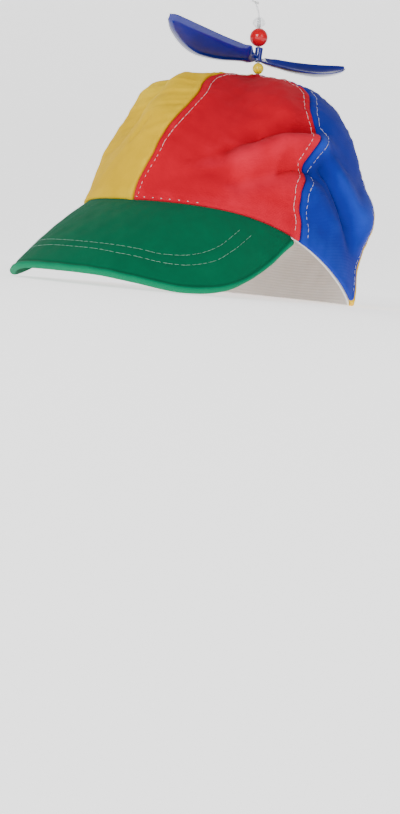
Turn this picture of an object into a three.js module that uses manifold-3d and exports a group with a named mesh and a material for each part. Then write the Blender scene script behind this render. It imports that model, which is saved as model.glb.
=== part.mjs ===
// Propeller beanie: a soft six-panel cap with a curved peak, and a propeller that spins on a nylon thread
// between beads. Millimetres. X is to the wearer's left, -Y to the front, Z up. The cap rests on the plane
// Z = 0 on the back of its rim and the two drooping sides of its peak. The origin is the middle of the
// foot of the bounding box.
import * as THREE from "three";
import { mergeVertices } from "three/addons/utils/BufferGeometryUtils.js";
import Module from "manifold-3d";

const wasm = await Module();
wasm.setup();

// The head opening and the crown
const rimWidth = 154;
const rimLength = 176;
const frontHeight = 49; // the rim's front above the resting plane
const restStart = 62; // how far behind the middle the rim comes down to the resting plane
const rimSweep = 1.7; // how steeply the rim's side falls, as an exponent
const crownHeight = 129; // without the nub
const crownBack = 20.5; // the crown's top lies this far behind the middle of the opening
const crownTwist = 18; // degrees that the most twisted seam strays by
const foldDepth = 6;
const nubHeight = 3.4; // the gathered ends of the seams raise the crown's top
const nubRadius = 8;

// Cloth
const clothWall = 1.6;
const hemWall = 3;
const hemShare = 0.07; // height of the hem, as a share of the way up the crown
const seamGap = 0.3;
const eyeletRadius = 1.7; // the hole at the top, where the thread comes through

// Sweatband, the tape inside the rim
const bandWall = 1.2;
const bandDrop = 1.3; // how far it shows below the rim
const bandGap = 0.3;

// Peak
const peakWall = 3.2;
const peakSpan = 65; // degrees from the middle to each end of its root
const peakReach = 59; // from the rim's front to the peak's tip
const peakWidth = 151;
const peakTipHeight = 11;
const peakBow = 0.057; // how far the peak swells half way out, as a share of its length there
const peakEdgeBevel = 0.9;
const peakGap = 0.3;

// Thread, beads and propeller
const threadRadius = 0.5;
const threadLean = 4.5; // degrees
const threadLeanHeading = 216; // the direction of a lean, in degrees from X towards Y
const threadFree = 9.5; // thread above the last bead
const threadBend = 3; // how far its free end leans over
const discRadius = 3.5;
const discWall = 1;
const barLength = 5;
const barRadius = 0.6;
const runningGap = 0.3;
const yellowBead = 6.8;
const redBead = 11;
const clearBead = 7.6;
const clearBeadFlat = 0.82; // height of the clear bead, as a share of its width
const hubRadius = 2.5;
const hubHeight = 8.4;
const hubClearance = 1; // between the hub's bore and the thread, which lets the propeller lean
const hubLean = 9; // degrees
const hubLeanHeading = 78;
const bladeReach = 62;
const bladeChord = 24.5;
const bladeWall = 1;
const bladePitch = 21; // degrees
const bladeTwist = 5; // extra pitch at the hub
const bladeDrop = 2; // how far below the hub's middle the blades start
const bladeDroop = 2.5; // how far they droop before they curve up, taken to the tips
const bladeRise = 8.5; // how far the tips curve up
const bladeCup = 4;
const bladeHeading = 236; // where one blade points

const deg = Math.PI / 180;
const up = new THREE.Vector3(0, 0, 1);
const crownTop = new THREE.Vector3(0, crownBack, crownHeight + nubHeight);

// The crown's outline by direction: degrees from the front, then the exponents of its curve inwards and
// upwards, a swelling half way up and a sag just above the rim
const meridians = [
  { from: 0, inwards: 0.76, upwards: 0.92, swell: -0.035, sag: 0 },
  { from: 35, inwards: 1.1, upwards: 1.05, swell: -0.1, sag: 0 },
  { from: 68, inwards: 0.76, upwards: 0.75, swell: -0.025, sag: 0 },
  { from: 115, inwards: 0.62, upwards: 0.81, swell: 0.065, sag: 0.03 },
  { from: 180, inwards: 0.7, upwards: 0.94, swell: 0.13, sag: 0.3 },
];

// Folds and dents, each along a line on the crown: direction in degrees from the front towards the
// wearer's left, height as a share of the way up, half width as a share of the rim's length, and depth as a
// share of foldDepth, where minus is a valley
const folds = [
  { turn: [80, 50], rise: [0.41, 0.345], width: 0.045, depth: -0.8 },
  { turn: [50, 27], rise: [0.345, 0.2], width: 0.045, depth: -0.5 },
  { turn: [81, 44], rise: [0.335, 0.225], width: 0.045, depth: 0.9 },
  { turn: [76, 44], rise: [0.205, 0.1], width: 0.036, depth: -0.95 },
  { turn: [72, 42], rise: [0.145, 0.06], width: 0.045, depth: 0.5 },
  { turn: [83, 100], rise: [0.26, 0.1], width: 0.036, depth: -0.7 },
  { turn: [88, 108], rise: [0.27, 0.15], width: 0.04, depth: 0.6 },
  { turn: [78, 98], rise: [0.12, 0.06], width: 0.04, depth: 0.4 },
  { turn: [112, 140], rise: [0.2, 0.22], width: 0.06, depth: 1.1 },
  { turn: [-14, -54], rise: [0.3, 0.2], width: 0.07, depth: 0.12 },
  { turn: [4, -14], rise: [0.36, 0.44], width: 0.05, depth: 0.35 },
  { turn: [-14, -72], rise: [0.62, 0.58], width: 0.09, depth: 1.08 },
  { turn: [-74, -98], rise: [0.28, 0.16], width: 0.036, depth: -0.8 },
  { turn: [-78, -106], rise: [0.42, 0.3], width: 0.05, depth: 0.52 },
  { turn: [-112, -140], rise: [0.36, 0.26], width: 0.045, depth: -0.7 },
  { turn: [156, 172], rise: [0.48, 0.24], width: 0.05, depth: -0.6 },
  { turn: [-158, -170], rise: [0.42, 0.2], width: 0.05, depth: -0.5 },
];

// The seams, by their directions at the rim: the twist of each on its way up, as a share of crownTwist, and
// the exponent that moves the most twisted place up from half way
const seamLines = [
  { from: 0, twist: 0.58, lift: 1 },
  { from: 66, twist: 1, lift: 1.5 },
  { from: 115, twist: 0.6, lift: 1.2 },
  { from: 180, twist: 0.22, lift: 1 },
  { from: 245, twist: 0, lift: 1 },
  { from: 294, twist: -0.22, lift: 1 },
  { from: 360, twist: 0.58, lift: 1 },
];

// The panels, by the directions of their two seams, with the colour of each
const red = 0xd01f30;
const yellow = 0xf0d22c;
const blue = 0x1f3f9c;
const panels = [
  { name: "panel_front_left", seams: [0, 66], colour: red },
  { name: "panel_left", seams: [66, 115], colour: blue },
  { name: "panel_back_left", seams: [115, 180], colour: yellow },
  { name: "panel_back_right", seams: [180, 245], colour: red },
  { name: "panel_right", seams: [245, 294], colour: blue },
  { name: "panel_front_right", seams: [294, 360], colour: yellow },
];
const columnAngle = 4; // degrees of each panel facet
const bandRows = [0, 0.06, 0.12, 0.19]; // shares of the way up, the tape's rows of facets
const upperRows = [0.25, 0.31, 0.37, 0.43, 0.49, 0.55, 0.61, 0.67, 0.73, 0.79, 0.85, 0.91, 0.955, 1];
const crownRows = [...bandRows, ...upperRows];

// The outer edge of the peak from its middle to its corner: the way out from the rim's front, half width
// and height, as shares of the peak's reach, its width and the height of the rim's front
const peakEdge = [
  { out: 1.0, side: 0.0, height: 0.0 },
  { out: 0.93, side: 0.17, height: -0.01 },
  { out: 0.776, side: 0.284, height: -0.056 },
  { out: 0.47, side: 0.407, height: -0.12 },
  { out: 0.08, side: 0.486, height: -0.06 },
  { out: -0.41, side: 0.495, height: 0.165 },
  { out: -0.856, side: 0.497, height: 0.507 },
];
const peakColumns = 26;
const peakRows = [0, 0.12, 0.28, 0.46, 0.64, 0.8, 0.93, 1];

// A propeller blade by its length: the chord as a share of the widest, and how far its straighter edge
// lies ahead of the middle line, as a share of the widest chord
const bladeSections = [
  { along: 0.02, chord: 0.24, lead: 0.12 },
  { along: 0.08, chord: 0.42, lead: 0.2 },
  { along: 0.13, chord: 0.62, lead: 0.4 },
  { along: 0.2, chord: 0.64, lead: 0.38 },
  { along: 0.34, chord: 0.8, lead: 0.42 },
  { along: 0.48, chord: 0.93, lead: 0.47 },
  { along: 0.6, chord: 1.0, lead: 0.51 },
  { along: 0.74, chord: 0.92, lead: 0.54 },
  { along: 0.86, chord: 0.72, lead: 0.55 },
  { along: 0.95, chord: 0.46, lead: 0.53 },
  { along: 1.0, chord: 0.16, lead: 0.46 },
];
const bladeColumns = 6;

const ease = (share) => share * share * (3 - 2 * share);
const clamp = (value, low, high) => Math.min(Math.max(value, low), high);

// A value between the rows of a table, eased so that the surface has no crease at a row
function between(table, key, column, value) {
  const last = table.length - 2;
  const row = clamp(table.findLastIndex((entry) => entry[key] <= value), 0, last);
  const share = clamp((value - table[row][key]) / (table[row + 1][key] - table[row][key]), 0, 1);
  return THREE.MathUtils.lerp(table[row][column], table[row + 1][column], ease(share));
}

// Height of the rim above the resting plane: it falls from the front in a cosine sweep and then lies flat
function rimHeight(y) {
  const share = clamp((y + rimLength / 2) / (restStart + rimLength / 2), 0, 1);
  return frontHeight * Math.cos((share * Math.PI) / 2) ** rimSweep;
}

// A place on the crown laid flat, so that a fold's distance can be measured
function laidFlat(turn, rise) {
  const across = turn * deg * (rimWidth / 2) * Math.cos(rise * 0.8 * (Math.PI / 2));
  return new THREE.Vector2(across, rise * crownHeight);
}

// How far the folds push the cloth out at one place: each is a bell curve of the distance from its line
function foldPush(turn, rise) {
  const place = laidFlat(turn, rise);
  let push = 0;
  for (const fold of folds) {
    const start = laidFlat(fold.turn[0], fold.rise[0]);
    const line = laidFlat(fold.turn[1], fold.rise[1]).sub(start);
    const from = place.clone().sub(start);
    const along = clamp(from.dot(line) / line.lengthSq(), 0, 1);
    const distance = from.sub(line.multiplyScalar(along)).length() / (fold.width * rimLength);
    push += fold.depth * foldDepth * Math.exp(-distance * distance);
  }
  return push;
}

// The inside face of the crown. Turn is in degrees from the front, rise goes from 0 at the rim to 1 at the
// top: a quarter turn of a superellipse in each direction, pushed out or in by the folds
function crownPoint(turn, rise) {
  const round = THREE.MathUtils.euclideanModulo(turn + 180, 360) - 180;
  const aside = Math.abs(round);
  const x = (rimWidth / 2) * Math.sin(round * deg);
  const y = (-rimLength / 2) * Math.cos(round * deg);
  const z = rimHeight(y);
  const inwards = Math.max(Math.cos((rise * Math.PI) / 2), 0);
  const upwards = Math.sin((Math.max(rise, 0) * Math.PI) / 2);
  const swell = between(meridians, "from", "swell", aside) * Math.sin(rise * Math.PI) * inwards ** 0.5;
  const sag = between(meridians, "from", "sag", aside) * upwards * Math.exp(-((rise / 0.28) ** 2));
  const out = inwards ** between(meridians, "from", "inwards", aside) * (1 + swell) + sag;
  const height = upwards ** between(meridians, "from", "upwards", aside);
  const point = new THREE.Vector3(x * out, THREE.MathUtils.lerp(crownTop.y, y, out), 0);
  const nub = nubHeight * Math.exp(-(((out * rimWidth) / 2 / nubRadius) ** 2));
  point.z = THREE.MathUtils.lerp(z, crownHeight, height) + nub;
  const middle = new THREE.Vector3(0, crownBack / 2, crownHeight / 3);
  const outwards = point.clone().sub(middle).setZ(Math.max(point.z - middle.z, 0)).normalize();
  const hold = ease(clamp(rise / 0.1, 0, 1)) * ease(clamp((1 - rise) / 0.2, 0, 1));
  return point.addScaledVector(outwards, foldPush(round, rise) * hold);
}

// The crown's outward direction, level at the rim so that the hem's foot stays in the rim's plane
function crownNormal(turn, rise) {
  const step = 0.004;
  const low = Math.max(rise - step, 0);
  const high = Math.min(rise + step, 1);
  const sideways = crownPoint(turn + 0.4, rise).sub(crownPoint(turn - 0.4, rise));
  const upwards = crownPoint(turn, high).sub(crownPoint(turn, low));
  const normal = sideways.cross(upwards).normalize();
  normal.z *= ease(clamp(rise / 0.12, 0, 1));
  return normal.normalize();
}

// A place off the crown's inside face, out through the cloth or, with a minus, in towards the head
function offCrown(turn, rise, distance) {
  return crownPoint(turn, rise).addScaledVector(crownNormal(turn, rise), distance);
}

// The cloth's thickness: a folded hem at the rim, one layer above it
function wallAt(rise) {
  return clothWall + (hemWall - clothWall) * (1 - ease(clamp(rise / hemShare, 0, 1)));
}

// The share of the way up that ends at the eyelet, found by halving
function riseAtEyelet(turn) {
  let low = 0.8;
  let high = 1;
  for (let step = 0; step < 30; step += 1) {
    const middle = (low + high) / 2;
    const point = crownPoint(turn, middle);
    if (Math.hypot(point.x - crownTop.x, point.y - crownTop.y) > eyeletRadius) low = middle;
    else high = middle;
  }
  return low;
}

// Joins two equal grids of points, a face and its back, into one closed solid
function slab(face, back, ring = false) {
  const rows = face.length;
  const columns = face[0].length;
  const points = [...face.flat(), ...back.flat()];
  const index = [];
  const place = (side, row, column) => (side * rows + row) * columns + (column % columns);
  const quad = (a, b, c, d) => index.push(a, b, c, a, c, d);
  const spans = ring ? columns : columns - 1;
  for (let row = 0; row < rows; row += 1) {
    for (let column = 0; column < spans; column += 1) {
      const next = column + 1;
      if (row < rows - 1) {
        quad(place(0, row, column), place(0, row, next), place(0, row + 1, next), place(0, row + 1, column));
        quad(place(1, row, column), place(1, row + 1, column), place(1, row + 1, next), place(1, row, next));
      }
      if (row === 0) quad(place(0, 0, column), place(1, 0, column), place(1, 0, next), place(0, 0, next));
      if (row === rows - 1) {
        quad(place(0, row, column), place(0, row, next), place(1, row, next), place(1, row, column));
      }
    }
  }
  for (let row = 0; row < rows - 1 && !ring; row += 1) {
    const end = columns - 1;
    quad(place(0, row, 0), place(0, row + 1, 0), place(1, row + 1, 0), place(1, row, 0));
    quad(place(0, row, end), place(1, row, end), place(1, row + 1, end), place(0, row + 1, end));
  }
  const geometry = new THREE.BufferGeometry().setFromPoints(points);
  geometry.setIndex(index);
  return geometry;
}

// Directions of the facets' edges between two seams
function columnsBetween(start, end) {
  const count = Math.round((end - start) / columnAngle);
  return Array.from({ length: count + 1 }, (_, column) => start + ((end - start) * column) / count);
}

// The direction of a column part of the way up: the panels twist, and the end columns keep clear of the seam
function twisted(turn, rise, keepClear) {
  const twist = between(seamLines, "from", "twist", turn) * crownTwist;
  const lift = between(seamLines, "from", "lift", turn);
  const direction = turn + twist * Math.sin(Math.PI * rise ** lift);
  if (!keepClear) return direction;
  const point = crownPoint(direction, rise);
  const radius = Math.hypot(point.x - crownTop.x, point.y - crownTop.y);
  return direction + (keepClear * Math.asin(seamGap / 2 / Math.max(radius, seamGap))) / deg;
}

function panel({ seams }) {
  const turns = columnsBetween(seams[0], seams[1]);
  const clear = turns.map((_, column) => (column === 0 ? 1 : column === turns.length - 1 ? -1 : 0));
  const skin = (isFace) => crownRows.map((row) => turns.map((turn, column) => {
    const rise = row * riseAtEyelet(turn);
    return offCrown(twisted(turn, rise, clear[column]), rise, isFace ? wallAt(rise) : 0);
  }));
  return slab(skin(true), skin(false));
}

// The sweatband lies inside all six panels and shows a little below the rim
function sweatband() {
  const turns = panels.flatMap(({ seams }) => columnsBetween(seams[0], seams[1]).slice(1));
  const skin = (depth) => {
    const rows = bandRows.map((row) => turns.map((turn) => {
      const rise = row * riseAtEyelet(turn);
      return offCrown(twisted(turn, rise, 0), rise, -depth);
    }));
    const foot = rows[0].map((point) => point.clone().setZ(Math.max(point.z - bandDrop, bandGap)));
    rows[0].forEach((point) => point.setZ(Math.max(point.z, 2 * bandGap)));
    return [foot, ...rows];
  };
  return slab(skin(bandGap), skin(bandGap + bandWall), true);
}

// The peak's top face: a bowed strip from under the hem to the outer edge. Side goes from -1 at the wearer's
// right to 1 at the left, and out from 0 at the root to 1 at the edge
const edgePoints = peakEdge.map(({ out, side, height }) => new THREE.Vector3(
  side * peakWidth,
  -rimLength / 2 - out * peakReach,
  peakTipHeight + height * frontHeight,
));
const mirrored = edgePoints.slice(1).reverse().map((point) => new THREE.Vector3(-point.x, point.y, point.z));
const edgeCurve = new THREE.CatmullRomCurve3([...mirrored, ...edgePoints], false, "catmullrom", 0.5);

function peakPoint(side, out, lift) {
  const root = crownPoint(side * peakSpan, 0);
  root.z -= peakGap;
  const edge = edgeCurve.getPoint((side + 1) / 2);
  edge.z += lift;
  const point = root.clone().lerp(edge, out);
  const bow = peakBow * root.distanceTo(edge) * 4 * out * (1 - out);
  return point.addScaledVector(up, bow);
}

function peakNormal(side, out, lift) {
  const step = 0.01;
  const left = clamp(side - step, -1, 1);
  const right = clamp(side + step, -1, 1);
  const sideways = peakPoint(right, out, lift).sub(peakPoint(left, out, lift));
  const low = clamp(out - step, 0, 1);
  const high = clamp(out + step, 0, 1);
  const outwards = peakPoint(side, high, lift).sub(peakPoint(side, low, lift));
  const normal = outwards.cross(sideways).normalize();
  return up.clone().lerp(normal, ease(clamp(out / 0.2, 0, 1))).normalize();
}

// The peak's face or its underside, with the outer edge bevelled
function peakSkin(depth, lift) {
  const bevel = depth > 0 ? -peakEdgeBevel : peakEdgeBevel;
  return peakRows.map((out) => Array.from({ length: peakColumns + 1 }, (_, column) => {
    const side = 1 - (2 * column) / peakColumns;
    const sink = depth + (out === 1 ? bevel : 0);
    return peakPoint(side, out, lift).addScaledVector(peakNormal(side, out, lift), -sink);
  }));
}

// The edge is raised or lowered as a whole until the drooping sides just touch the resting plane
function peak() {
  const lowest = Math.min(...peakSkin(peakWall, 0).flat().map((point) => point.z));
  return slab(peakSkin(0, -lowest), peakSkin(peakWall, -lowest));
}

// Conversions between three.js geometry and a solid that can be joined and cut
function toSolid(geometry) {
  const bare = geometry.clone();
  bare.deleteAttribute("normal");
  bare.deleteAttribute("uv");
  const merged = mergeVertices(bare, 1e-4);
  const vertProperties = Float32Array.from(merged.attributes.position.array);
  const triVerts = Uint32Array.from(merged.index.array);
  return new wasm.Manifold(new wasm.Mesh({ numProp: 3, vertProperties, triVerts }));
}

function toGeometry(solid) {
  const mesh = solid.getMesh();
  const geometry = new THREE.BufferGeometry();
  geometry.setAttribute("position", new THREE.BufferAttribute(mesh.vertProperties, 3));
  geometry.setIndex(new THREE.BufferAttribute(mesh.triVerts, 1));
  return geometry;
}

// A drilled bead standing on its hole, which its profile goes round as a closed loop
function bead(width, flat = 1) {
  const bore = threadRadius + runningGap;
  const radius = width / 2;
  const steps = 9;
  const first = Math.asin(bore / radius);
  const profile = Array.from({ length: steps + 1 }, (_, step) => {
    const angle = first + ((Math.PI - 2 * first) * step) / steps;
    return new THREE.Vector2(radius * Math.sin(angle), -radius * flat * Math.cos(angle));
  });
  profile.push(profile[0].clone());
  return new THREE.LatheGeometry(profile, 16).rotateX(Math.PI / 2);
}

function beadHeight(width, flat = 1) {
  return 2 * flat * Math.sqrt((width / 2) ** 2 - (threadRadius + runningGap) ** 2);
}

// One blade, a cupped leaf along X: each section is a shallow arc, turned by the pitch, on a rising line
function bladeSkin(depth) {
  return bladeSections.map(({ along, chord, lead }) => {
    const pitch = (bladePitch + bladeTwist * (1 - along)) * deg;
    const level = bladeRise * along * along - bladeDroop * along - bladeDrop;
    return Array.from({ length: bladeColumns + 1 }, (_, column) => {
      const share = column / bladeColumns;
      const across = bladeChord * (lead - share * chord);
      const cup = -bladeCup * chord * 4 * share * (1 - share) - depth;
      return new THREE.Vector3(
        along * bladeReach,
        across * Math.cos(pitch) - cup * Math.sin(pitch),
        across * Math.sin(pitch) + cup * Math.cos(pitch) + level,
      );
    });
  });
}

function propeller() {
  const blade = toSolid(slab(bladeSkin(0), bladeSkin(bladeWall)));
  const other = toSolid(slab(bladeSkin(0), bladeSkin(bladeWall)).rotateZ(Math.PI));
  const hub = toSolid(new THREE.CylinderGeometry(hubRadius, hubRadius, hubHeight, 20).rotateX(Math.PI / 2));
  const boreRadius = threadRadius + hubClearance;
  const bore = new THREE.CylinderGeometry(boreRadius, boreRadius, hubHeight * 2, 16).rotateX(Math.PI / 2);
  return toGeometry(hub.add(blade).add(other).subtract(toSolid(bore)));
}

// Heights of the stack on the thread, above the crown's inside face
const yellowHalf = beadHeight(yellowBead) / 2;
const redHalf = beadHeight(redBead) / 2;
const clearHalf = beadHeight(clearBead, clearBeadFlat) / 2;
const hubHalf = hubHeight / 2 + hubRadius * Math.sin(hubLean * deg);
const yellowHeight = clothWall + 2 * runningGap + yellowHalf;
const hubPlace = yellowHeight + yellowHalf + runningGap + hubHalf;
const redHeight = hubPlace + hubHalf + runningGap + redHalf;
const clearHeight = redHeight + redHalf + runningGap + clearHalf;
const threadTop = clearHeight + clearHalf + threadFree;

// The thread is one moulding: a disc inside the crown, the thread and a crossbar at its free end
function thread() {
  const slope = nubHeight * (discRadius / nubRadius) ** 2 + discRadius * Math.sin(threadLean * deg);
  const start = -2 * bandGap - slope - discWall / 2;
  const straight = threadTop - threadFree;
  const path = new THREE.CatmullRomCurve3([
    new THREE.Vector3(0, 0, start),
    new THREE.Vector3(0, 0, straight / 2),
    new THREE.Vector3(0, 0, straight),
    new THREE.Vector3(-threadBend / 3, 0, straight + threadFree / 2),
    new THREE.Vector3(-threadBend, 0, threadTop),
  ]);
  const section = new THREE.Shape().absarc(0, 0, threadRadius, 0, 2 * Math.PI);
  const cord = new THREE.ExtrudeGeometry(section, { steps: 24, curveSegments: 4, extrudePath: path });
  const disc = new THREE.CylinderGeometry(discRadius, discRadius, discWall, 16).rotateX(Math.PI / 2);
  disc.translate(0, 0, start);
  const bar = new THREE.CapsuleGeometry(barRadius, barLength - 2 * barRadius, 2, 8);
  bar.rotateZ(Math.PI / 2 - threadLean * deg).translate(-threadBend, 0, threadTop);
  return toGeometry(toSolid(cord).add(toSolid(disc)).add(toSolid(bar)));
}

// The turn that tips a vertical piece over by an angle towards a heading
function leaning(angle, heading) {
  const axis = new THREE.Vector3(-Math.sin(heading * deg), Math.cos(heading * deg), 0);
  return new THREE.Quaternion().setFromAxisAngle(axis, angle * deg);
}

// One named mesh with its own material
function piece(name, geometry, color, roughness, metalness = 0) {
  const material = new THREE.MeshStandardMaterial({ color, roughness, metalness });
  const mesh = new THREE.Mesh(geometry, material);
  mesh.name = name;
  return mesh;
}

const beanie = new THREE.Group();
for (const entry of panels) beanie.add(piece(entry.name, panel(entry), entry.colour, 0.9));
beanie.add(piece("peak", peak(), 0x0a6b43, 0.9));
beanie.add(piece("sweatband", sweatband(), 0xf2efe8, 0.9));

// The thread and what it carries lean together
const stack = new THREE.Group();
stack.position.copy(crownTop);
stack.quaternion.copy(leaning(threadLean, threadLeanHeading));
beanie.add(stack);
stack.add(piece("thread", thread(), 0xe8e8e6, 0.25));

const yellowPiece = piece("bead_yellow", bead(yellowBead), 0xe6c41c, 0.2);
yellowPiece.position.z = yellowHeight;
const redPiece = piece("bead_red", bead(redBead), 0xd8182a, 0.15);
redPiece.position.z = redHeight;
const clearPiece = piece("bead_clear", bead(clearBead, clearBeadFlat), 0xdfe3e6, 0.1);
clearPiece.position.z = clearHeight;
stack.add(yellowPiece, redPiece, clearPiece);

// The loose hub lets the propeller lean on its bead
const rotor = new THREE.Group();
rotor.position.z = hubPlace;
rotor.quaternion.copy(leaning(hubLean, hubLeanHeading));
const propellerPiece = piece("propeller", propeller(), 0x17309a, 0.2);
propellerPiece.rotation.z = bladeHeading * deg;
rotor.add(propellerPiece);
stack.add(rotor);

// The origin goes to the middle of the foot of the bounding box
beanie.updateMatrixWorld(true);
const box = new THREE.Box3().setFromObject(beanie, true);
const middle = box.getCenter(new THREE.Vector3());
beanie.position.set(-middle.x, -middle.y, -box.min.z);

export default beanie;
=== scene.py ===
# %% [markdown]
# # A propeller beanie
# The real thing is a soft cap of six cotton twill panels with a stiffened peak. On its crown a moulded
# propeller turns on a clear nylon thread between coloured beads.
# The solids of the part are coarse. Here each one is replaced by a fine surface of the same form, worked
# out with numpy from the same sizes, so that cloth can roll into its seams and stitches can lie on it.

# %% Load the fixed frame
import bpy
import numpy as np
from mathutils import Matrix, Vector


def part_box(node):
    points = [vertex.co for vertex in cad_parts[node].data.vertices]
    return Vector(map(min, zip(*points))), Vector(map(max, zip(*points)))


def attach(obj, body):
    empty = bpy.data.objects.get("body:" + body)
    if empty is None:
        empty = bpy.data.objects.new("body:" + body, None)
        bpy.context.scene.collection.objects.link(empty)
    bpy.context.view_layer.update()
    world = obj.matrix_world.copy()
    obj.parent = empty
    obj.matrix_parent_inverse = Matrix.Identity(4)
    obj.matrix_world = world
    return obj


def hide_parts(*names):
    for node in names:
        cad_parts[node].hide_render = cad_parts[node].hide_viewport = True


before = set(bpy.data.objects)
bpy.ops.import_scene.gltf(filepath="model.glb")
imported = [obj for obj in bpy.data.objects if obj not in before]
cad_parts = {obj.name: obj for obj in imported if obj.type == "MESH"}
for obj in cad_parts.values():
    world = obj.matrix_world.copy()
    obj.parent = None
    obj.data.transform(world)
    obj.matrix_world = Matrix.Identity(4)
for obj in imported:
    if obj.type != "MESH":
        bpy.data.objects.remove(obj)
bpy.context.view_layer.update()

# %% [markdown]
# ## Sizes
# Everything is in metres. These are the cap's own dimensions: its head opening, its crown, its cloth, its
# peak and the stack on the thread. The tables give forms that no single number can: the outline of the
# crown by direction, the folds, the edge of the peak and the sections of a blade.

# %% Sizes of the cap and of the stack on its thread
rim_width = 0.154
rim_length = 0.176
front_height = 0.049
rest_start = 0.062
rim_sweep = 1.7
sag_share = 0.28
crown_height = 0.129
crown_back = 0.0205
crown_twist = 18.0
nub_height = 0.0034
nub_radius = 0.008
fold_depth = 0.006
cloth_wall = 0.0016
hem_wall = 0.003
hem_share = 0.07
eyelet_radius = 0.0012
band_wall = 0.0012
band_drop = 0.0013
band_gap = 0.0003
peak_wall = 0.0032
peak_span = 65.0
peak_reach = 0.059
peak_width = 0.151
peak_tip_height = 0.011
peak_bow = 0.057
peak_gap = 0.0003
thread_radius = 0.0005
thread_lean = 4.5
thread_lean_heading = 216.0
thread_free = 0.0095
thread_bend = 0.003
disc_radius = 0.0035
disc_wall = 0.001
bar_length = 0.005
bar_radius = 0.0006
running_gap = 0.0003
yellow_bead = 0.0068
red_bead = 0.011
clear_bead = 0.0076
clear_bead_flat = 0.82
hub_radius = 0.0025
hub_height = 0.0084
hub_clearance = 0.001
hub_lean = 9.0
hub_lean_heading = 78.0
blade_reach = 0.062
blade_chord = 0.0245
blade_wall = 0.001
blade_pitch = 21.0
blade_twist = 5.0
blade_drop = 0.002
blade_droop = 0.0025
blade_rise = 0.0085
blade_cup = 0.004
blade_heading = 236.0
crown_top = np.array([0.0, crown_back, crown_height + nub_height])
girth_share = (rim_width + rim_length) / 4
UP = np.array([0, 0, 1.0])

# %% Tables of the crown's outline, its folds, the peak's edge and a blade's sections
# Degrees from the front, the exponents of the curve inwards and upwards, a swelling half way up and a sag
# just above the rim
OUTLINES = np.array([
    [0, 0.76, 0.92, -0.035, 0.0],
    [35, 1.1, 1.05, -0.1, 0.0],
    [68, 0.76, 0.75, -0.025, 0.0],
    [115, 0.62, 0.81, 0.065, 0.03],
    [180, 0.7, 0.94, 0.13, 0.3],
])
# Start and end direction, start and end share of the way up, half width as a share of the rim's length and
# depth as a share of the fold depth, where minus is a valley
FOLDS = np.array([
    [80, 50, 0.41, 0.345, 0.045, -0.8],
    [50, 27, 0.345, 0.2, 0.045, -0.5],
    [81, 44, 0.335, 0.225, 0.045, 0.9],
    [76, 44, 0.205, 0.1, 0.036, -0.95],
    [72, 42, 0.145, 0.06, 0.045, 0.5],
    [83, 100, 0.26, 0.1, 0.036, -0.7],
    [88, 108, 0.27, 0.15, 0.04, 0.6],
    [78, 98, 0.12, 0.06, 0.04, 0.4],
    [112, 140, 0.2, 0.22, 0.06, 1.1],
    [-14, -54, 0.3, 0.2, 0.07, 0.12],
    [4, -14, 0.36, 0.44, 0.05, 0.35],
    [-14, -72, 0.62, 0.58, 0.09, 1.08],
    [-74, -98, 0.28, 0.16, 0.036, -0.8],
    [-78, -106, 0.42, 0.3, 0.05, 0.52],
    [-112, -140, 0.36, 0.26, 0.045, -0.7],
    [156, 172, 0.48, 0.24, 0.05, -0.6],
    [-158, -170, 0.42, 0.2, 0.05, -0.5],
])
# The same columns again for the sharper creases that only fine cloth can show
CREASES = np.array([
    [79, 66, 0.385, 0.35, 0.013, -0.24],
    [66, 50, 0.35, 0.335, 0.014, -0.2],
    [52, 36, 0.335, 0.27, 0.016, -0.12],
    [36, 20, 0.27, 0.185, 0.016, -0.08],
    [50, 28, 0.345, 0.21, 0.045, 0.26],
    [48, 30, 0.23, 0.16, 0.03, 0.16],
    [76, 60, 0.33, 0.28, 0.018, 0.1],
    [62, 46, 0.42, 0.47, 0.024, -0.1],
    [66, 44, 0.17, 0.1, 0.034, 0.36],
    [75, 60, 0.205, 0.165, 0.012, -0.26],
    [56, 40, 0.135, 0.085, 0.016, 0.08],
    [52, 30, 0.235, 0.15, 0.018, -0.08],
    [36, 16, 0.15, 0.09, 0.018, -0.08],
    [82, 84, 0.265, 0.245, 0.018, -0.45],
    [84, 97, 0.235, 0.12, 0.012, -0.26],
    [80, 88, 0.19, 0.12, 0.012, -0.16],
    [90, 104, 0.25, 0.17, 0.014, 0.14],
    [84, 96, 0.34, 0.3, 0.015, -0.12],
    [-4, -10, 0.36, 0.24, 0.012, -0.16],
    [-20, -48, 0.3, 0.23, 0.02, -0.1],
    [-78, -94, 0.26, 0.18, 0.014, -0.2],
    [158, 170, 0.44, 0.28, 0.018, -0.16],
    [-160, -168, 0.4, 0.23, 0.018, -0.14],
])
# The way out from the rim's front, half width and height, as shares of the peak's reach, its width and the
# height of the rim's front, from the middle to the corner
PEAK_EDGE = np.array([
    [1.0, 0.0, 0.0],
    [0.93, 0.17, -0.01],
    [0.776, 0.284, -0.056],
    [0.47, 0.407, -0.12],
    [0.08, 0.486, -0.06],
    [-0.41, 0.495, 0.165],
    [-0.856, 0.497, 0.507],
])
# The way along a blade, its chord and how far its straighter edge lies ahead of the middle line, as shares
BLADE = np.array([
    [0.02, 0.24, 0.12],
    [0.08, 0.42, 0.2],
    [0.13, 0.62, 0.4],
    [0.2, 0.64, 0.38],
    [0.34, 0.8, 0.42],
    [0.48, 0.93, 0.47],
    [0.6, 1.0, 0.51],
    [0.74, 0.92, 0.54],
    [0.86, 0.72, 0.55],
    [0.95, 0.46, 0.53],
    [1.0, 0.16, 0.46],
])
# Each seam's direction at the rim, its twist on the way up as a share of the greatest one, and the exponent
# that moves the most twisted place up from half way
SEAM_LINES = np.array([
    [0, 0.58, 1.0],
    [66, 1.0, 1.5],
    [115, 0.6, 1.2],
    [180, 0.22, 1.0],
    [245, 0.0, 1.0],
    [294, -0.22, 1.0],
    [360, 0.58, 1.0],
])
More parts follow.
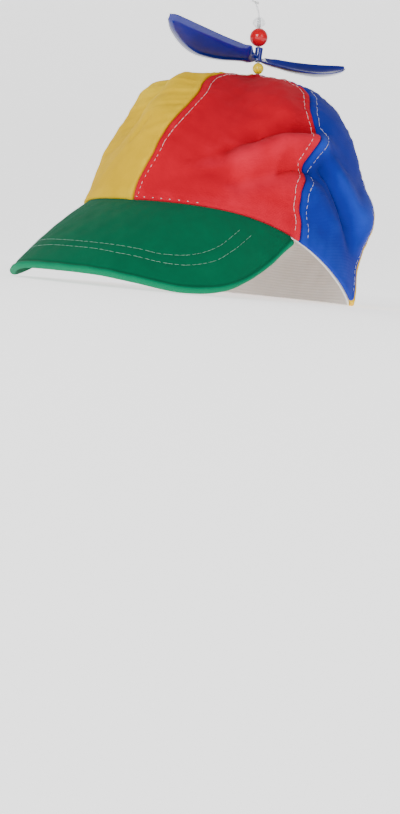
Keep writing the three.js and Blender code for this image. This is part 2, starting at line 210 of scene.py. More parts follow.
# Each panel's node, the directions of its two seams and its cloth
PANELS = [
    ("panel_front_left", 0, 66, "cloth_red"),
    ("panel_left", 66, 115, "cloth_blue"),
    ("panel_back_left", 115, 180, "cloth_yellow"),
    ("panel_back_right", 180, 245, "cloth_red"),
    ("panel_right", 245, 294, "cloth_blue"),
    ("panel_front_right", 294, 360, "cloth_yellow"),
]
print("folds:", len(FOLDS), "creases:", len(CREASES), "panels:", len(PANELS))

# %% [markdown]
# ## Camera
# The photograph looks at the wearer's left front from low down. The cap stands on the floor here, so the
# camera keeps that direction but stays just above the floor. It is placed by a direction and a distance
# from a point in the cap, then turned so that the point falls on the pixel that it has in the photograph.

# %% Camera
picture_width, picture_height = 400, 814
camera_heading = 35.5
camera_rise = -3.44
camera_roll = 5.5
camera_distance = 0.8
metres_per_pixel = 0.00061
aim_pixel = (227.0, 194.0)
aim_height = 0.060


def turned(angle, heading):
    """Rotation matrix that tips a vertical piece over by an angle towards a heading, both in degrees."""
    way = np.radians(heading)
    axis = Vector((-np.sin(way), np.cos(way), 0))
    return np.array(Matrix.Rotation(np.radians(angle), 3, axis))


def placed(name, data):
    """Puts new data into the scene as an object."""
    thing = bpy.data.objects.new(name, data)
    bpy.context.scene.collection.objects.link(thing)
    return thing


def place_camera(target):
    """Look from heading and rise at the target, rolled, and swing so the target falls on its pixel."""
    heading, rise, roll = np.radians([camera_heading, camera_rise, camera_roll])
    back = Vector((np.sin(heading) * np.cos(rise), -np.cos(heading) * np.cos(rise), np.sin(rise)))
    right = Vector((np.cos(heading), np.sin(heading), 0))
    facing = Matrix((right, back.cross(right), back)).transposed()
    facing = facing @ Matrix.Rotation(roll, 3, "Z")
    focal = camera_distance / metres_per_pixel
    seen = Vector((aim_pixel[0] - picture_width / 2, picture_height / 2 - aim_pixel[1], -focal))
    swing = Vector((0, 0, -1)).rotation_difference(seen.normalized()).to_matrix()
    camera = placed("camera", bpy.data.cameras.new("camera"))
    camera.data.sensor_width = 36
    camera.data.lens = camera.data.sensor_width * focal / picture_height
    camera.data.clip_start = 0.01
    place = Matrix.Translation(Vector(target) + back * camera_distance)
    camera.matrix_world = place @ (facing @ swing.inverted()).to_4x4()
    bpy.context.scene.camera = camera
    print("camera height:", round(camera.matrix_world.translation.z, 4), "lens:", round(camera.data.lens, 1))


# %% [markdown]
# ## Where the stack stands
# The beads, the hub and the thread share one leaning line that starts at the crown's top. Their heights
# follow from one another. The red bead's place in the frame then tells where the whole cap was moved to,
# so no other number has to be copied.

# %% Heights on the thread and the cap's place in the frame


def bead_half(width, flat=1.0):
    """Half the height of a drilled bead, where its hole cuts the ball."""
    return flat * np.sqrt((width / 2) ** 2 - (thread_radius + running_gap) ** 2)


hub_half = hub_height / 2 + hub_radius * np.sin(np.radians(hub_lean))
yellow_height = cloth_wall + 2 * running_gap + bead_half(yellow_bead)
hub_place = yellow_height + bead_half(yellow_bead) + running_gap + hub_half
red_height = hub_place + hub_half + running_gap + bead_half(red_bead)
clear_height = red_height + bead_half(red_bead) + running_gap + bead_half(clear_bead, clear_bead_flat)
thread_top = clear_height + bead_half(clear_bead, clear_bead_flat) + thread_free
stack_turn = turned(thread_lean, thread_lean_heading)

bead_low, bead_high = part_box("bead_red")
bead_middle = (np.array(bead_low) + np.array(bead_high)) / 2
shift = bead_middle - (crown_top + stack_turn @ np.array([0, 0, red_height]))
place_camera(shift + np.array([0, 0, aim_height]))
print("the cap is moved by", np.round(shift, 5))


def on_thread(points):
    """Carries points from the upright stack to its leaning place on the crown."""
    return points @ stack_turn.T + crown_top + shift


# %% [markdown]
# ## The crown as one surface
# A cap could be sculpted, or simulated as cloth over a head. The folds of this one are known from a
# picture, so it is written as a formula: for each direction round the head, a quarter of a superellipse
# climbs from the tilted rim to the top, and each fold pushes it out or in by a bell curve.

# %% The crown's surface


def ease(share):
    """Smooth step from 0 to 1, held outside."""
    share = np.clip(share, 0, 1)
    return share * share * (3 - 2 * share)


def bell(distance, width):
    """Bell curve: 1 at no distance, falling as the exponential of minus the squared share of the width."""
    return np.exp(-((distance / width) ** 2))


def unit(vectors):
    """Vectors divided by their own lengths."""
    return vectors / np.linalg.norm(vectors, axis=-1, keepdims=True)


def wrapped(turn):
    """A direction in degrees, brought between -180 and 180."""
    return (turn + 180) % 360 - 180


def outline(aside, column):
    """A column of the outline table at a direction, eased between its rows."""
    place = np.interp(aside, OUTLINES[:, 0], np.arange(len(OUTLINES)))
    low = np.minimum(place.astype(int), len(OUTLINES) - 2)
    part = ease(place - low)
    return OUTLINES[low, column] * (1 - part) + OUTLINES[low + 1, column] * part


def rim_level(y):
    """Height of the rim: a cosine sweep down from the front, then flat on the floor."""
    share = np.clip((y + rim_length / 2) / (rest_start + rim_length / 2), 0, 1)
    return front_height * np.cos(share * np.pi / 2) ** rim_sweep


def laid_flat(turn, rise):
    """Directions and shares of the way up as distances on a flat map of the crown."""
    return np.radians(turn) * (rim_width / 2) * np.cos(rise * 0.8 * (np.pi / 2)), rise * crown_height


def fold_push(turn, rise, table):
    """Sum over the folds of depth times a bell curve of the distance to the fold's line."""
    x, y = laid_flat(turn, rise)
    push = np.zeros(np.broadcast(x, y).shape)
    for start, end, low, high, width, depth in table:
        (x0, y0), (x1, y1) = laid_flat(start, low), laid_flat(end, high)
        reach = (x1 - x0) ** 2 + (y1 - y0) ** 2
        along = np.clip(((x - x0) * (x1 - x0) + (y - y0) * (y1 - y0)) / reach, 0, 1)
        distance = np.hypot(x - x0 - along * (x1 - x0), y - y0 - along * (y1 - y0))
        push += depth * fold_depth * bell(distance, width * rim_length)
    return push


def crown(turn, rise, tables=(FOLDS, CREASES)):
    """Inside face of the crown at a direction in degrees and a share of the way up."""
    turn, rise = np.broadcast_arrays(wrapped(np.asarray(turn, float)), np.asarray(rise, float))
    aside = np.abs(turn)
    x = rim_width / 2 * np.sin(np.radians(turn))
    y = -rim_length / 2 * np.cos(np.radians(turn))
    inwards = np.maximum(np.cos(rise * np.pi / 2), 0)
    upwards = np.sin(np.clip(rise, 0, 1) * np.pi / 2)
    swell = outline(aside, 3) * np.sin(rise * np.pi) * np.sqrt(inwards)
    sag = outline(aside, 4) * upwards * bell(rise, sag_share)
    out = inwards ** outline(aside, 1) * (1 + swell) + sag
    climb = upwards ** outline(aside, 2)
    level = rim_level(y)
    nub = nub_height * bell(out * rim_width / 2, nub_radius)
    points = np.stack([x * out, crown_back + (y - crown_back) * out,
                       level + (crown_height - level) * climb + nub], -1)
    middle = np.array([0, crown_back / 2, crown_height / 3])
    outwards = points - middle
    outwards[..., 2] = np.maximum(outwards[..., 2], 0)
    hold = ease(rise / 0.1) * ease((1 - rise) / 0.2)
    push = sum(fold_push(turn, rise, table) for table in tables) * hold
    return points + unit(outwards) * push[..., None]


def crown_normal(turn, rise):
    """Outward direction of the crown, level at the rim."""
    step = 0.004
    sideways = crown(turn + 0.4, rise) - crown(turn - 0.4, rise)
    upwards = crown(turn, np.minimum(rise + step, 1)) - crown(turn, np.maximum(rise - step, 0))
    normal = unit(np.cross(sideways, upwards))
    normal[..., 2] *= ease(rise / 0.12)
    return unit(normal)


def crown_radius(turn, rise):
    """Level distance from the crown's top to its surface without folds."""
    flat = crown(turn, rise, ())
    return np.hypot(flat[..., 0] - crown_top[0], flat[..., 1] - crown_top[1])


# %% [markdown]
# ## Cloth that rolls into its seams
# A sewn seam is more than a line. The cloth rolls down into it, the allowance folded behind makes a raised
# strip, the topstitch pulls a groove along that strip, and the thread's tension puckers it. Each of these
# is one term of the distance between the crown's inside face and the cloth's outside.

# %% Seams, puckers and the cloth's outside face
SEAMS = np.array([seam for _, seam, _, _ in PANELS], float)
# How strongly each seam puckers: the one between the red and the blue panel is the most gathered
PUCKER = np.array([0.45, 1.0, 0.8, 0.5, 0.6, 0.7])
seam_roll = 0.0017
topstitch_inset = 0.0047
allowance_width, allowance_height = 0.0062, 0.00045
ridge_inset, ridge_height = 0.0029, 0.00018
soft_step = 0.0012
groove_width, seam_groove, hem_groove = 0.0006, 0.00042, 0.0004
hem_groove_height = 0.0032
pucker_depth, pucker_pitch, pucker_drift = 0.00026, 0.0088, 0.031
pucker_inset, pucker_width = 0.0042, 0.0048
ripple_depth = 0.00034
meridian_length = 0.150
# Share of the way up and sideways drift in degrees of the two seams that the folds pull out of line
SEAM_DRIFT = {
    0: np.array([[0, 1.7], [0.02, 1.0], [0.05, 0.3], [0.12, 0.1], [0.19, -0.1], [0.23, -0.8], [0.27, -1.0],
                 [0.32, -0.8], [0.36, -0.4], [0.42, 0], [0.49, 0.5], [0.56, 0.7], [0.63, -0.8], [0.72, -2.0],
                 [0.86, -1.2], [1, 0]]),
    66: np.array([[0, 3.8], [0.03, 3.5], [0.05, 2.1], [0.086, 1.2], [0.104, 0.7], [0.128, 1.0], [0.165, 2.1],
                  [0.195, 1.3], [0.21, -0.6], [0.226, -1.5], [0.241, -1.2], [0.273, -0.3], [0.313, 0.9],
                  [0.37, 2.6], [0.425, 3.4], [0.45, 1.8], [0.465, -0.4], [0.493, -2.2], [0.55, -2.6],
                  [0.638, 1.0], [0.722, 5.6], [0.82, 5.0], [0.92, 2.0], [1, 0]]),
}


def smooth(table, place, column=1):
    """Cubic curve through a column of a table, with slopes taken from the neighbouring rows."""
    x, y = table[:, 0], table[:, column]
    slope = np.gradient(y, x)
    row = np.clip(np.searchsorted(x, place) - 1, 0, len(x) - 2)
    gap = x[row + 1] - x[row]
    t = (place - x[row]) / gap
    return ((1 + 2 * t) * (1 - t) ** 2 * y[row] + t * (1 - t) ** 2 * gap * slope[row]
            + t * t * (3 - 2 * t) * y[row + 1] + t * t * (t - 1) * gap * slope[row + 1])


def drift(seam, rise):
    """Sideways drift of a seam in degrees: from its table, or from two slow waves of its own."""
    if seam % 360 in SEAM_DRIFT:
        return smooth(SEAM_DRIFT[seam % 360], rise)
    wave = (np.sin(2 * np.pi * (rise * 3.1 + seam * 0.0062))
            + 0.6 * np.sin(2 * np.pi * (rise * 7.3 + seam * 0.012)))
    return wave * 0.6 * ease(rise / 0.08) * ease((0.93 - rise) / 0.2)


def seam_turn(seam, rise):
    """Direction of a seam part of the way up: its foot, its twist and its own drift."""
    share, lift = (np.interp(seam, SEAM_LINES[:, 0], SEAM_LINES[:, column]) for column in (1, 2))
    return seam + crown_twist * share * np.sin(np.pi * rise ** lift) + drift(seam, rise)


def seam_distance(turn, rise):
    """Distance to the nearest seam along the cloth, and which seam it is."""
    gaps = np.stack([np.abs(wrapped(turn - seam_turn(seam, rise))) for seam in SEAMS])
    return np.radians(gaps.min(0)) * np.maximum(crown_radius(turn, rise), 1e-4), gaps.argmin(0)


def ripple(turn, rise):
    """Low waves all over the cloth: three sums of sines in different directions."""
    x, y = laid_flat(turn, rise)
    waves = (np.sin(x * 173 + y * 61 + 1.3) * np.sin(y * 118 - x * 37 + 0.4)
             + 0.6 * np.sin(x * 97 - y * 211 + 2.1) * np.sin(x * 251 + y * 43)
             + 0.35 * np.sin(x * 402 + y * 290 + 0.7) * np.sin(y * 371 - x * 166 + 2.9))
    return ripple_depth * waves * ease(rise / 0.1)


def cloth_lift(turn, rise):
    """Distance from the inside face to the outside: wall, allowance, grooves, puckers and ripples, rolled."""
    distance, nearest = seam_distance(turn, rise)
    wall = cloth_wall + (hem_wall - cloth_wall) * (1 - ease(rise / hem_share))
    roll = np.sqrt(1 - (1 - np.clip(distance / seam_roll, 0.004, 1)) ** 2)
    allowance = allowance_height * ease((allowance_width - distance) / soft_step)
    allowance += ridge_height * bell(distance - ridge_inset, soft_step)
    groove = -seam_groove * bell(distance - topstitch_inset, groove_width)
    height = meridian_length * np.sin(rise * np.pi / 2) ** outline(np.abs(wrapped(turn)), 2)
    groove -= hem_groove * bell(height - hem_groove_height, groove_width)
    along = 2 * np.pi * rise * meridian_length
    beat = np.sin(along / pucker_pitch + 1.8 * np.sin(along / pucker_drift + nearest))
    pucker = pucker_depth * PUCKER[nearest] * beat * bell(distance - pucker_inset, pucker_width)
    pucker *= ease(rise / 0.05) * ease((0.95 - rise) / 0.1)
    return (wall + allowance + groove + pucker + ripple(turn, rise)) * roll


def outside(turn, rise, extra=0.0):
    """A point on the outside of the cloth, or a little off it."""
    lift = cloth_lift(turn, rise) + extra
    return crown(turn, rise) + crown_normal(turn, rise) * lift[..., None] + shift


# %% [markdown]
# ## From grids to meshes
# Every piece is a grid of points. One helper turns a grid into a mesh: it can close the grid round one way
# or both, cap its two ends, and write a map in metres for the weave. If the result is inside out, the
# signed volume is negative and the faces are turned.

# %% Helpers that turn grids into pieces


def grid_faces(rows, columns, loop=False, ring=False):
    """Quads of a grid as point numbers, and as places on a map that doesn't wrap."""
    row, column = np.meshgrid(np.arange(rows if loop else rows - 1),
                              np.arange(columns if ring else columns - 1), indexing="ij")
    corners = [(row, column), (row, column + 1), (row + 1, column + 1), (row + 1, column)]
    faces = np.stack([(r % rows) * columns + c % columns for r, c in corners], -1).reshape(-1, 4)
    places = np.stack([r * (columns + 1) + c for r, c in corners], -1).reshape(-1, 4)
    return faces, places


def outward(points, faces):
    """1 or -1, the order of corners that faces outwards, from the sign of the volume inside the quads."""
    a, b, c, d = (points[faces[:, k]] for k in range(4))
    volume = np.einsum("ij,ij->", a, np.cross(b, c)) + np.einsum("ij,ij->", a, np.cross(c, d))
    return -1 if volume < 0 else 1


def add_piece(name, points, faces, material, corners=None, shade=None):
    """Makes a smooth mesh object from points and quads, with a weave map and a shading attribute."""
    points = points.reshape(-1, 3)
    order = outward(points, faces)
    mesh = bpy.data.meshes.new(name)
    mesh.from_pydata(points.tolist(), [], faces[:, ::order].tolist())
    if corners is not None:
        uv = mesh.uv_layers.new(name="weave").data
        uv.foreach_set("uv", corners[:, ::order].astype(np.float32).ravel())
    if shade is not None:
        values = mesh.attributes.new("shade", "FLOAT", "POINT").data
        values.foreach_set("value", shade.astype(np.float32).ravel())
    mesh.shade_smooth()
    mesh.update()
    mesh.materials.append(material)
    print(name, "has", len(faces), "faces")
    return placed(name, mesh)


def folded(count):
    """Quads that close a flattened loop of points: each point faces the one across, k the one at -1 - k."""
    k = np.arange(count // 2 - 1)
    return np.stack([k, k + 1, count - 2 - k, count - 1 - k], -1)


def tube_faces(rings, sides):
    """Quads of a tube of rings, with its ends closed by folding each end ring flat."""
    faces, _ = grid_faces(rings, sides, ring=True)
    fold = folded(sides)
    return np.concatenate([faces, fold[:, ::-1], fold + (rings - 1) * sides])


def joined(parts):
    """Points and faces of several parts as those of one."""
    starts = np.cumsum([0] + [len(points) for points, _ in parts])
    faces = [faces + start for (_, faces), start in zip(parts, starts)]
    return np.concatenate([points for points, _ in parts]), np.concatenate(faces)


def revolved(radius, level, count):
    """A profile of radii and levels turned round the z axis."""
    around = np.linspace(0, 2 * np.pi, count + 1)[:-1]
    radius, level = np.array(radius)[:, None], np.array(level)[:, None]
    return np.stack([radius * np.cos(around), radius * np.sin(around), level + 0 * around], -1)


def gone_along(path):
    """Distance gone along a polyline at each of its points."""
    return np.concatenate([[0], np.cumsum(np.linalg.norm(np.diff(path, axis=0), axis=1))])


def weave_map(points, across, column, closing):
    """Places in metres on a map: across the grid, and down one of its columns and the closing step."""
    down = gone_along(points[:, column])
    return np.stack(np.meshgrid(across, np.append(down, down[-1] + closing)), -1).reshape(-1, 2)


def closed_strip(points, across, closing):
    """Faces and map corners of a flat strip whose rows go all round it, with both its ends folded shut."""
    rows, columns = points.shape[:2]
    faces, places = grid_faces(rows, columns, loop=True)
    fold = folded(rows) * columns
    faces = np.concatenate([faces, fold, fold[:, ::-1] + columns - 1])
    corners = weave_map(points, across, columns // 2, closing)[places]
    return faces, np.concatenate([corners, np.zeros((2 * len(fold), 4, 2))])


# %% [markdown]
# ## Shader maths
# A finish is a node tree, but sums and products read better as Python. One small class wraps a socket and
# turns operators into Math nodes. Another stands for the material: it adds any other node by its type, its
# settings and its inputs, and mixes colours.

# %% Shader helpers


class Value:
    """A number that varies over a surface: operators on it add Math nodes."""

    def __init__(self, finish, socket):
        self.finish, self.socket = finish, socket

    def math(self, operation, *others):
        """A Math node of this value and others."""
        return self.finish.node("ShaderNodeMath", {"operation": operation}, [self, *others])

    def __add__(self, other):
        return self.math("ADD", other)

    def __mul__(self, other):
        return self.math("MULTIPLY", other)

    def __sub__(self, other):
        return self.math("SUBTRACT", other)

    def __rsub__(self, other):
        return self.finish.node("ShaderNodeMath", {"operation": "SUBTRACT"}, [other, self])

    __radd__ = __add__
    __rmul__ = __mul__


class Finish:
    """A material under construction, with constants set on its shader's own sockets."""

    def __init__(self, name, constants):
        self.material = bpy.data.materials.new(name)
        self.material.use_nodes = True
        self.tree = self.material.node_tree
        self.shader = self.tree.nodes["Principled BSDF"]
        for socket, value in constants.items():
            self.shader.inputs[socket].default_value = value
        self.place = self.node("ShaderNodeTexCoord", {}, {}, "Object")

    def node(self, kind, settings=None, inputs=(), output=0):
        """Adds a node: settings first, then the values or links of its sockets."""
        node = self.tree.nodes.new(kind)
        for key, value in (settings or {}).items():
            setattr(node, key, value)
        pairs = inputs.items() if isinstance(inputs, dict) else enumerate(inputs)
        for key, value in pairs:
            if isinstance(value, Value):
                self.tree.links.new(value.socket, node.inputs[key])
            else:
                node.inputs[key].default_value = value
        return Value(self, node.outputs[output])

    def mix(self, factor, *colours):
        """A colour between two colours, each of them three numbers or a value."""
        first, second = (colour if isinstance(colour, Value) else (*colour, 1) for colour in colours)
        pairs = {0: factor, 6: first, 7: second}
        return self.node("ShaderNodeMix", {"data_type": "RGBA"}, pairs, 2)

    def noise(self, scale, detail=2.0, rough=0.5):
        """Noise in the object's own space."""
        inputs = {"Vector": self.place, "Scale": scale, "Detail": detail, "Roughness": rough}
        return self.node("ShaderNodeTexNoise", {}, inputs, "Fac")

    def weave(self):
        """The two directions of the weave map, in metres."""
        split = self.node("ShaderNodeSeparateXYZ", {}, [self.node("ShaderNodeUVMap", {"uv_map": "weave"})])
        return [Value(self, split.socket.node.outputs[k]) for k in (0, 1)]

    def between(self, value, low, high):
        """A value stretched so that low becomes 0 and high becomes 1, held outside."""
        inputs = {"Value": value, "From Min": low, "From Max": high}
        return self.node("ShaderNodeMapRange", {"clamp": True}, inputs)

    def bump(self, height, strength, distance):
        """A normal tilted by a height."""
        return self.node("ShaderNodeBump", {}, {"Height": height, "Strength": strength, "Distance": distance})

    def feed(self, **links):
        """Links values to the shader's sockets and gives the finished material."""
        for name, value in links.items():
            self.tree.links.new(value.socket, self.shader.inputs[name.replace("_", " ")])
        return self.material


# %% [markdown]
# ## Twill
# Cotton twill has fine diagonal ribs, is dull, and has a soft sheen from its fibres. The ribs follow the
# map in metres. The colour is never even: dye takes unevenly over a few millimetres. Shade is also painted
# into it from the shade attribute: darker in fold valleys and grooves, paler on ridges as a painted
# highlight.

# %% Cloth finishes
rib_pitch = 0.00085


def twill(name, colour, pale, deep):
    """Diagonal ribs from a sine of the map's diagonal, mottled by noise, with painted shade and highlight
    from the shade attribute.
    """
    finish = Finish(name, {"Roughness": 0.85, "Sheen Weight": 0.03, "Sheen Roughness": 0.45,
                           "Specular IOR Level": 0.06})
    across, along = finish.weave()
    rib = ((across * 0.55 + along) * (2 * np.pi / rib_pitch)).math("SINE")
    cross = ((across - along * 0.4) * (2 * np.pi / rib_pitch * 1.4)).math("SINE")
    fibre = finish.noise(2600, 3)
    mottle = finish.noise(85, 4, 0.6)
    cloud = finish.noise(18, 2)
    shade = finish.node("ShaderNodeAttribute", {"attribute_name": "shade"}, {}, "Fac")
    # Painted shade: the shade attribute darkens the colour in fold valleys and grooves and lightens it on
    # ridges
    tone = finish.between(mottle * 0.45 + cloud * 0.3 + shade * 0.55 + rib * 0.03, 0.1, 0.95)
    body = finish.mix(tone, deep, colour)
    # Painted highlight: where the shade value is highest, the colour goes towards the pale one
    paled_ridges = finish.between(shade + mottle * 0.3, 0.72, 1.1)
    finished = finish.mix(paled_ridges * 0.55, body, pale)
    height = rib * 0.5 + cross * 0.2 + fibre * 0.7
    return finish.feed(Base_Color=finished, Roughness=0.9 - mottle * 0.1,
                       Normal=finish.bump(height, 0.35, 0.00025))


# Each cloth's own colour, its pale colour for painted highlights on ridges, and its deep colour for dye
# mottle and painted shade
CLOTHS = {
    "cloth_red": twill("twill_red", (0.62, 0.001, 0.020), (0.78, 0.02, 0.06), (0.32, 0.0, 0.008)),
    "cloth_blue": twill("twill_blue", (0.012, 0.028, 0.36), (0.03, 0.08, 0.54), (0.005, 0.012, 0.15)),
    "cloth_yellow": twill("twill_yellow", (0.84, 0.53, 0.0), (0.95, 0.70, 0.03), (0.52, 0.30, 0.0)),
    "cloth_green": twill("twill_green", (0.0, 0.150, 0.066), (0.0, 0.26, 0.12), (0.0, 0.070, 0.032)),
}
print("cloth finishes:", sorted(CLOTHS))

# %% [markdown]
# ## The six panels
# Each panel is one closed strip: the outside from the eyelet down to the rim, round the hem, and up again
# on the inside. Its columns stand closer together near the seams, where the cloth rolls over. Solidify
# could give a wall, but not a thicker hem or a seam that thins to nothing.

# %% Panels
column_step = row_step = 0.0012


def seam_spaced(width):
    """Shares across a panel: tight next to both seams, even between."""
    near = np.array([0, 0.00025, 0.0006, 0.001, 0.0015, 0.0021]) / width
    middle = np.linspace(0.003 / width, 1 - 0.003 / width, int(width / column_step))
    return np.concatenate([near, middle, 1 - near[::-1]])


def eyelet_rise(turn):
    """Share of the way up at which the panel ends at the eyelet, from the curve's own exponent."""
    share = eyelet_radius / crown_radius(turn, np.zeros_like(turn))
    return np.arccos(share ** (1 / outline(np.abs(wrapped(turn)), 1))) * 2 / np.pi


def panel_piece(node, start, end, cloth):
    """One panel as a closed strip of cloth with a rounded hem."""
    shares = seam_spaced(np.radians(end - start) * girth_share)
    falls = np.linspace(1, 0, int(meridian_length / row_step)) ** 0.9
    rise = falls[:, None] * eyelet_rise(start + (end - start) * shares)[None, :]
    turn = seam_turn(start, rise) * (1 - shares) + seam_turn(end, rise) * shares
    inside, normal, lift = crown(turn, rise), crown_normal(turn, rise), cloth_lift(turn, rise)
    arc = np.linspace(0, np.pi, 8)[1:-1, None, None]
    half = lift[-1][:, None] / 2
    foot = inside[-1] + normal[-1] * half
    sink = np.minimum(half, 0.35 * foot[:, 2:] + 1e-5)
    hem = foot + normal[-1] * (np.cos(arc) * half) - UP * (np.sin(arc) * sink)
    points = np.concatenate([inside + normal * lift[..., None], hem, inside[::-1]]) + shift
    across = np.radians(start + (end - start) * np.append(shares, 1)) * girth_share
    faces, corners = closed_strip(points, across, row_step)
    folds, creases = (fold_push(wrapped(turn), rise, table) / fold_depth for table in (FOLDS, CREASES))
    # Painted light and shade for the cloth's colour: fold valleys, creases and stitch grooves darker, fold
    # and seam ridges paler
    push = np.clip(0.5 + folds * 0.3 + creases * 1.2 + (lift - cloth_wall) / 0.001 * 0.12, 0, 1)
    # The inside face is held at a low value, painted shade inside the crown
    shade = np.concatenate([push, np.repeat(push[-1:], len(hem), 0), push[::-1] * 0 + 0.3])
    piece = add_piece(node + "_cloth", points, faces, CLOTHS[cloth], corners, shade)
    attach(piece, "cap")
    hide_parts(node)


for entry in PANELS:
    panel_piece(*entry)

# %% [markdown]
# ## Stitches
# A row of stitches is a dashed line of real thread. Each stitch is a short, slightly arched tube whose two
# ends dive into the cloth. All the stitches of a row are worked out in one go along a path.

# %% Stitch helpers and the threads


def stitch_row(path, normals, length, gap, radius):
    """Tubes of six sides and five rings laid along a path, as points and faces."""
    gone = gone_along(path)
    count = int(gone[-1] / (length + gap))
    spots = np.linspace(0, 1, 5)
    starts = (np.arange(count) + 0.5) * gone[-1] / count - length / 2
    jitter = 0.12 * length * np.sin(np.arange(count) * 2.399)
    places = (starts + jitter)[:, None] + spots * length
    middle, up = (np.stack([np.interp(places, gone, values[:, k]) for k in range(3)], -1)
                  for values in (path, normals))
    up = unit(up)
    aside = np.cross(unit(np.gradient(middle, axis=1)), up)
    arch = np.sin(spots * np.pi) ** 0.6
    middle = middle + up * ((arch - 0.55) * radius * 1.1)[None, :, None]
    thick = radius * np.array([0.45, 0.9, 1.0, 0.9, 0.45])
    angle = np.arange(6) * np.pi / 3
    ring = (np.cos(angle)[:, None] * aside[:, :, None, :] + np.sin(angle)[:, None] * up[:, :, None, :])
    points = middle[:, :, None, :] + ring * thick[None, :, None, None]
    numbers = tube_faces(5, 6)[None] + (np.arange(count) * 30)[:, None, None]
    return points.reshape(-1, 3), numbers.reshape(-1, 4)


def stitch_piece(name, rows, thread):
    """Joins rows of stitches into one piece of thread that rides on the cap."""
    piece = add_piece(name, *joined(rows), thread)
    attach(piece, "cap")


def sewing_thread(name, deep, pale):
    """Cotton thread of a colour, with a fine twist from noise."""
    finish = Finish(name, {"Sheen Weight": 0.3, "Specular IOR Level": 0.3})
    fibre = finish.noise(1800, 2)
    colour = finish.mix(fibre, deep, pale)
    return finish.feed(Base_Color=colour, Roughness=0.6 + fibre * 0.2,
                       Normal=finish.bump(fibre, 0.4, 0.0002))


WHITE_THREAD = sewing_thread("thread_white", (0.58, 0.55, 0.54), (0.78, 0.76, 0.75))
PALE_THREAD = sewing_thread("thread_pale_green", (0.20, 0.42, 0.31), (0.34, 0.60, 0.47))

# %% [markdown]
# ## Topstitching
# The seams are topstitched with thin white thread, a few millimetres from the seam, so the stitches lie in
# the grooves that the cloth already has. The seam over the forehead and the left one between blue and
# yellow are sewn on one side only, and the others on both. A long stitch and a very short gap read as a
# fine, slightly broken line.

# %% Topstitching beside the seams


def topstitch(seam, side):
    """A row at a fixed distance from a seam, on one side of it."""
    rise = np.linspace(0.004, 0.94, 300)
    turn = seam_turn(seam, rise)
    turn = turn + side * np.degrees(topstitch_inset / crown_radius(turn, rise))
    path, normals = outside(turn, rise, 0.00014), crown_normal(turn, rise)
    return stitch_row(path, normals, 0.0030, 0.0003, 0.00014)


sides = [(seam, side) for seam in SEAMS for side in (-1, 1) if (seam, side) not in ((0, -1), (115, 1))]
stitch_piece("topstitching", [topstitch(seam, side) for seam, side in sides], WHITE_THREAD)

# %% [markdown]
# ## The peak
# The peak is twill over a stiff sheet. Its surface is stretched between the rim's front and an outer edge
# given by a smooth curve through a few places. The edge ends in a rounded roll. Two rows of pale green
# stitches follow it about two centimetres further in, on both faces.

# %% The peak's surface


def spline(points, place):
    """Catmull-Rom curve through points, spaced evenly in the number of the point."""
    count = len(points) - 1
    row = np.minimum((place * count).astype(int), count - 1)
    part = (place * count - row)[..., None]
    first, second = points[row], points[row + 1]
    before = np.where((row > 0)[..., None], points[np.maximum(row - 1, 0)], 2 * first - second)
    after = np.where((row < count - 1)[..., None], points[np.minimum(row + 2, count)], 2 * second - first)
    slope, end = (second - before) / 2, (after - first) / 2
    return (first + slope * part + (3 * (second - first) - 2 * slope - end) * part ** 2
            + (2 * (first - second) + slope + end) * part ** 3)


half_edge = np.stack([PEAK_EDGE[:, 1] * peak_width, -rim_length / 2 - PEAK_EDGE[:, 0] * peak_reach,
                      peak_tip_height + PEAK_EDGE[:, 2] * front_height], -1)
EDGE_POINTS = np.concatenate([half_edge[:0:-1] * [-1, 1, 1], half_edge])


def peak_top(side, out, lift=0.0):
    """Top face of the peak: from the root at the hem to the edge curve, bowed upwards between."""
    root = crown(side * peak_span, np.zeros_like(side)) - UP * peak_gap
    edge = spline(EDGE_POINTS, (side + 1) / 2) + UP * lift
    bow = peak_bow * np.linalg.norm(edge - root, axis=-1) * 4 * out * (1 - out)
    return root + (edge - root) * out[..., None] + UP * bow[..., None]


def peak_normal(side, out, lift=0.0):
    """Upward direction of the peak, vertical at its root."""
    step = 0.01
    sideways = (peak_top(np.minimum(side + step, 1), out, lift)
                - peak_top(np.maximum(side - step, -1), out, lift))
    outwards = (peak_top(side, np.minimum(out + step, 1), lift)
                - peak_top(side, np.maximum(out - step, 0), lift))
    part = ease(out / 0.2)[..., None]
    return unit(UP * (1 - part) + unit(np.cross(outwards, sideways)) * part)


side_shares = np.linspace(-1, 1, 27)
lowest = peak_top(side_shares, np.ones(27)) - peak_normal(side_shares, np.ones(27)) * peak_wall
edge_lift = -min(lowest[:, 2].min(), 1.0)
print("the peak's edge is lifted by", round(float(edge_lift), 5))

# %% Peak piece
# Share of the way to the peak's end, and share of the way out of the inner and the outer row of stitches
STITCH_ROWS = (
    np.array([[0, 0.727], [0.10, 0.727], [0.21, 0.725], [0.31, 0.722], [0.37, 0.725], [0.43, 0.705],
              [0.50, 0.664], [0.56, 0.605], [0.61, 0.525], [0.65, 0.425], [0.695, 0.30]]),
    np.array([[0, 0.79], [0.10, 0.79], [0.20, 0.80], [0.30, 0.797], [0.38, 0.801], [0.44, 0.79], [0.50, 0.77],
              [0.56, 0.735], [0.61, 0.688], [0.65, 0.62], [0.69, 0.545], [0.73, 0.45], [0.76, 0.37]]),
)
# How far in from the edge its roll and the groove behind the roll lie, their widths and their heights
roll_inset, roll_width, roll_height = 0.0013, 0.001, 0.0004
edge_groove_inset, edge_groove_width, edge_groove = 0.0034, 0.0006, 0.00025
row_groove_width, row_groove = 0.0007, 0.00026


def row_place(table, side):
    """Share of the way out of a row of stitches at a side share, the same on both sides."""
    return smooth(table, np.clip(np.abs(side), 0, table[-1, 0]))


